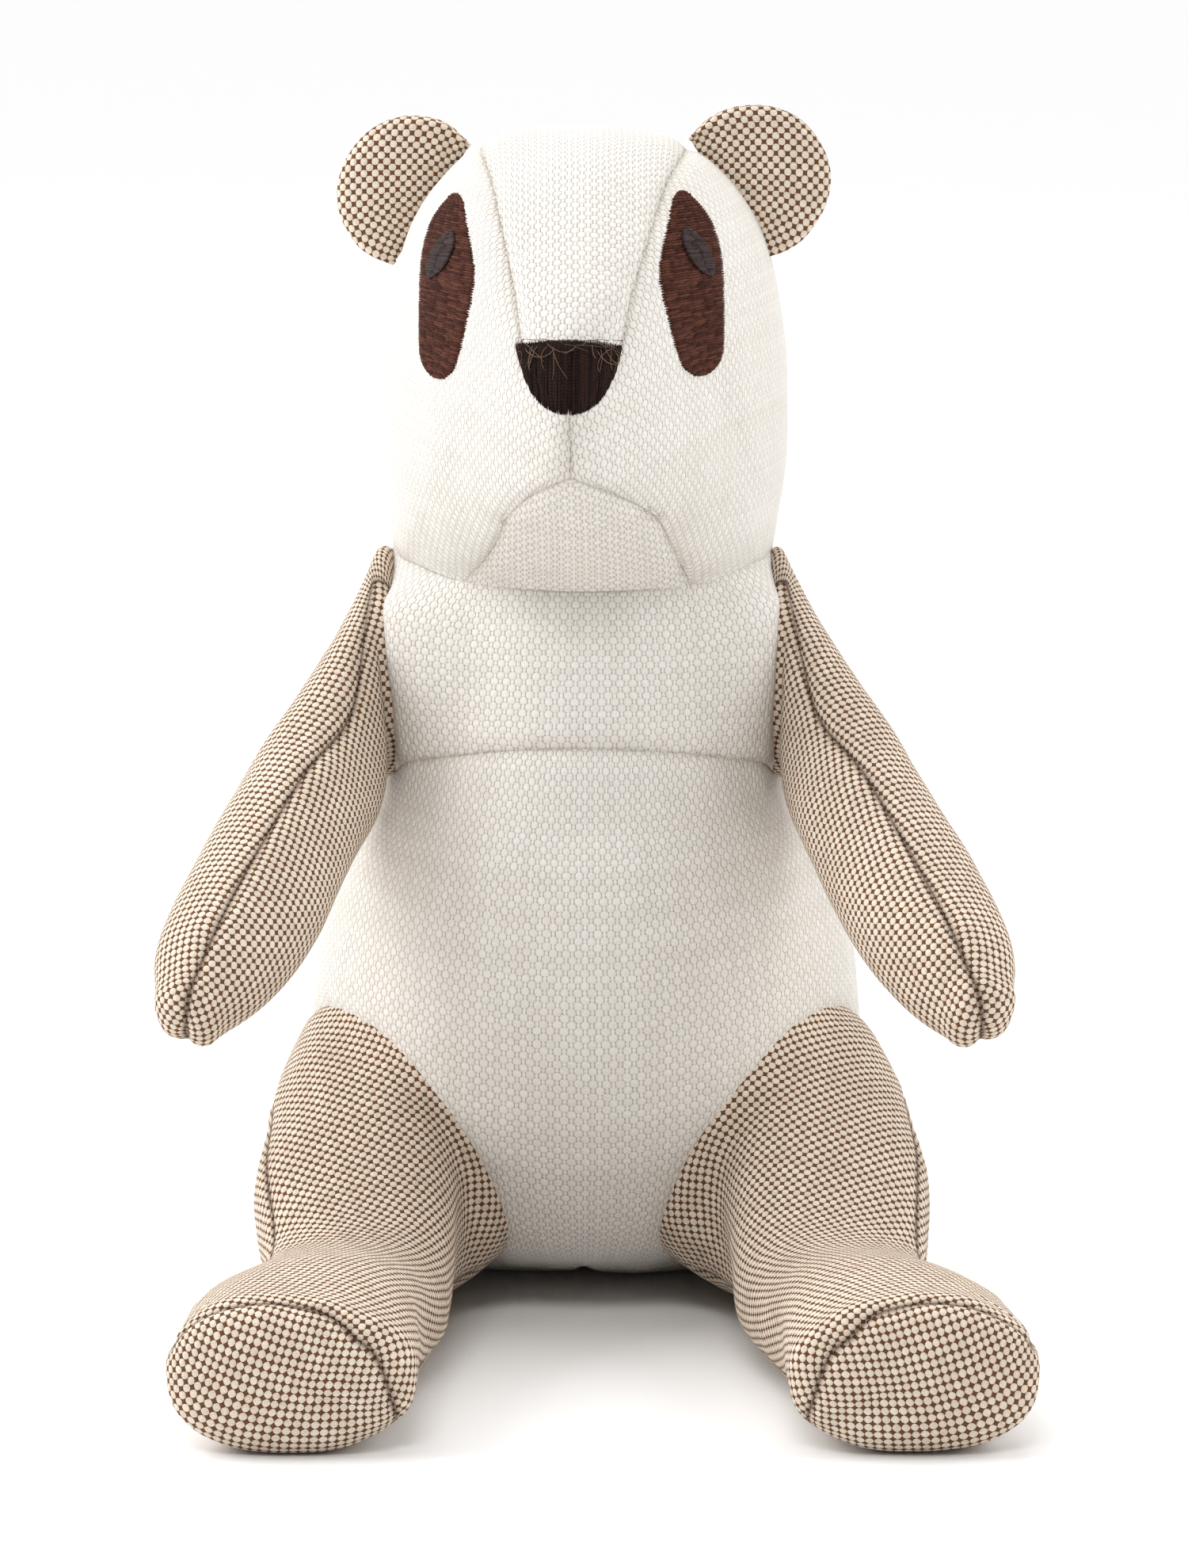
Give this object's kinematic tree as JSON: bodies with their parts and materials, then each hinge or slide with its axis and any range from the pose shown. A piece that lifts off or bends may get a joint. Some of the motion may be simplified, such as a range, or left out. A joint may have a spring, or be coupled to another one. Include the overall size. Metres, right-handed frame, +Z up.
{
  "type": "plush panda",
  "caption": "Seated soft toy panda of woven canvas panels over stuffed bodies, with a turning head, ears that fold, and arms and legs that swing in their seams.",
  "frame": {"origin": "middle of the footprint on the floor the toy sits on", "axes": "+Z up; the toy faces -Y; its own left is +X"},
  "size_m": [0.1684, 0.1982, 0.2411],
  "materials": {
    "belly_panel": "matt plain-weave cotton canvas, undyed white",
    "chest_panel": "matt plain-weave cotton canvas, undyed white",
    "back_panel_left": "matt plain-weave cotton canvas, undyed white",
    "back_panel_right": "matt plain-weave cotton canvas, undyed white",
    "torso_stuffing": "loose polyester fibre",
    "pellet_bag": "closed cloth bag of plastic pellets",
    "crown_gusset": "matt plain-weave cotton canvas, undyed white",
    "chin_panel": "matt plain-weave cotton canvas, undyed white",
    "cheek_panel_left": "matt plain-weave cotton canvas, undyed white",
    "cheek_panel_right": "matt plain-weave cotton canvas, undyed white",
    "head_stuffing": "loose polyester fibre",
    "eye_patch_left": "dense satin stitches in red-brown thread",
    "eye_patch_right": "dense satin stitches in red-brown thread",
    "pupil_left": "satin stitches in dark grey-brown thread",
    "pupil_right": "satin stitches in dark grey-brown thread",
    "nose_embroidery": "long vertical satin stitches in near-black thread",
    "ear_front_left": "matt plain-weave canvas of cream and brown yarns, cut on the bias",
    "ear_back_left": "matt plain-weave canvas of cream and brown yarns, cut on the bias",
    "ear_wadding_left": "loose polyester fibre",
    "arm_outer_left": "matt plain-weave canvas of cream and brown yarns, cut on the bias",
    "arm_inner_left": "matt plain-weave canvas of cream and brown yarns, cut on the bias",
    "arm_stuffing_left": "loose polyester fibre",
    "leg_top_left": "matt plain-weave canvas of cream and brown yarns, cut on the bias",
    "leg_under_left": "matt plain-weave canvas of cream and brown yarns, cut on the bias",
    "leg_stuffing_left": "loose polyester fibre",
    "ear_front_right": "matt plain-weave canvas of cream and brown yarns, cut on the bias",
    "ear_back_right": "matt plain-weave canvas of cream and brown yarns, cut on the bias",
    "ear_wadding_right": "loose polyester fibre",
    "arm_outer_right": "matt plain-weave canvas of cream and brown yarns, cut on the bias",
    "arm_inner_right": "matt plain-weave canvas of cream and brown yarns, cut on the bias",
    "arm_stuffing_right": "loose polyester fibre",
    "leg_top_right": "matt plain-weave canvas of cream and brown yarns, cut on the bias",
    "leg_under_right": "matt plain-weave canvas of cream and brown yarns, cut on the bias",
    "leg_stuffing_right": "loose polyester fibre"
  },
  "bodies": {
    "torso": {"belly_panel": "belly_panel", "chest_panel": "chest_panel", "back_panel_left": "back_panel_left", "back_panel_right": "back_panel_right", "torso_stuffing": "torso_stuffing", "pellet_bag": "pellet_bag"},
    "head": {"crown_gusset": "crown_gusset", "chin_panel": "chin_panel", "cheek_panel_left": "cheek_panel_left", "cheek_panel_right": "cheek_panel_right", "head_stuffing": "head_stuffing", "eye_patch_left": "eye_patch_left", "eye_patch_right": "eye_patch_right", "pupil_left": "pupil_left", "pupil_right": "pupil_right", "nose_embroidery": "nose_embroidery"},
    "ear_left": {"ear_front_left": "ear_front_left", "ear_back_left": "ear_back_left", "ear_wadding_left": "ear_wadding_left"},
    "arm_left": {"arm_outer_left": "arm_outer_left", "arm_inner_left": "arm_inner_left", "arm_stuffing_left": "arm_stuffing_left"},
    "leg_left": {"leg_top_left": "leg_top_left", "leg_under_left": "leg_under_left", "leg_stuffing_left": "leg_stuffing_left"},
    "ear_right": {"ear_front_right": "ear_front_right", "ear_back_right": "ear_back_right", "ear_wadding_right": "ear_wadding_right"},
    "arm_right": {"arm_outer_right": "arm_outer_right", "arm_inner_right": "arm_inner_right", "arm_stuffing_right": "arm_stuffing_right"},
    "leg_right": {"leg_top_right": "leg_top_right", "leg_under_right": "leg_under_right", "leg_stuffing_right": "leg_stuffing_right"}
  },
  "joints": [
    {"name": "neck_turn", "type": "hinge", "parent": "torso", "child": "head", "pos_m": [0, 0.0492, 0.1542], "axis": [0, -0.1461, 0.9893], "range_deg": [-15, 15], "stiffness_Nm_per_rad": 0.6},
    {"name": "shoulder_left", "type": "hinge", "parent": "torso", "child": "arm_left", "pos_m": [0.0388, 0.0417, 0.1292], "axis": [-0.9864, 0.1302, -0.1001], "range_deg": [-8, 35], "stiffness_Nm_per_rad": 0.6},
    {"name": "hip_left", "type": "hinge", "parent": "torso", "child": "leg_left", "pos_m": [0.037, 0.0322, 0.0278], "axis": [-0.7871, 0.4261, 0.4461], "range_deg": [0, 15], "stiffness_Nm_per_rad": 1},
    {"name": "ear_left", "type": "hinge", "parent": "head", "child": "ear_left", "pos_m": [0.03144, 0.04712, 0.22327], "axis": [0.5344, -0.0185, -0.845], "range_deg": [-15, 15], "stiffness_Nm_per_rad": 0.03},
    {"name": "shoulder_right", "type": "hinge", "parent": "torso", "child": "arm_right", "pos_m": [-0.0388, 0.0417, 0.1292], "axis": [-0.9864, -0.1302, 0.1001], "range_deg": [-8, 35], "stiffness_Nm_per_rad": 0.6},
    {"name": "hip_right", "type": "hinge", "parent": "torso", "child": "leg_right", "pos_m": [-0.037, 0.0322, 0.0278], "axis": [-0.7871, -0.4261, -0.4461], "range_deg": [0, 15], "stiffness_Nm_per_rad": 1},
    {"name": "ear_right", "type": "hinge", "parent": "head", "child": "ear_right", "pos_m": [-0.03231, 0.04932, 0.22359], "axis": [0.543, -0.0187, 0.8395], "range_deg": [-15, 15], "stiffness_Nm_per_rad": 0.03}
  ]
}
